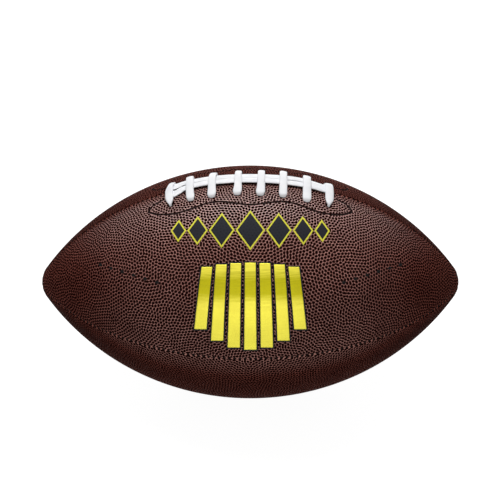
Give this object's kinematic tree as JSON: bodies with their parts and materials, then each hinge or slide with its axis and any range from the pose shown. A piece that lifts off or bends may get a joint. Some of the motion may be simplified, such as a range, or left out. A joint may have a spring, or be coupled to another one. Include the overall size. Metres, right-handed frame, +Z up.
{
  "type": "american football",
  "caption": "Sewn ball with pointed ends, made of cover panels over a lining and an air bladder, closed by a raised lace, with an inflation valve.",
  "frame": {"origin": "centre of the ball, half way between the tips on the long axis", "axes": "+X along the long axis from tip to tip, +Z up through the middle of the lacing, -Y the printed front"},
  "size_m": [0.29, 0.1616, 0.1647],
  "materials": {
    "cover_leather": "pebbled, satin",
    "lining_cloth": "woven, matte",
    "bladder_rubber": "smooth, satin",
    "plug_rubber": "smooth, satin",
    "facing_leather": "smooth, matte",
    "lace_white": "smooth, satin",
    "thread_black": "twisted thread",
    "ink_black": "satin ink",
    "ink_yellow": "satin ink",
    "foil_gold": "satin foil"
  },
  "bodies": {
    "root": {"panel_upper_front": "cover_leather", "panel_upper_rear": "cover_leather", "panel_lower_front": "cover_leather", "panel_lower_rear": "cover_leather", "lining_upper_front": "lining_cloth", "lining_upper_rear": "lining_cloth", "lining_lower_front": "lining_cloth", "lining_lower_rear": "lining_cloth", "bladder": "bladder_rubber", "valve_body": "bladder_rubber", "valve_plug": "plug_rubber", "valve_patch": "lining_cloth", "facing_front": "facing_leather", "facing_rear": "facing_leather", "lace_tongue": "facing_leather", "lace": "lace_white", "facing_stitches_front": "thread_black", "facing_stitches_rear": "thread_black", "seam_stitches_front": "thread_black", "seam_stitches_rear": "thread_black", "seam_stitches_bottom": "thread_black", "seam_stitches_top_left": "thread_black", "seam_stitches_top_right": "thread_black", "print_band": "ink_black", "print_band_edge": "ink_yellow", "print_fan": "foil_gold", "print_fan_edge": "ink_black", "print_pips": "ink_black"}
  },
  "joints": []
}
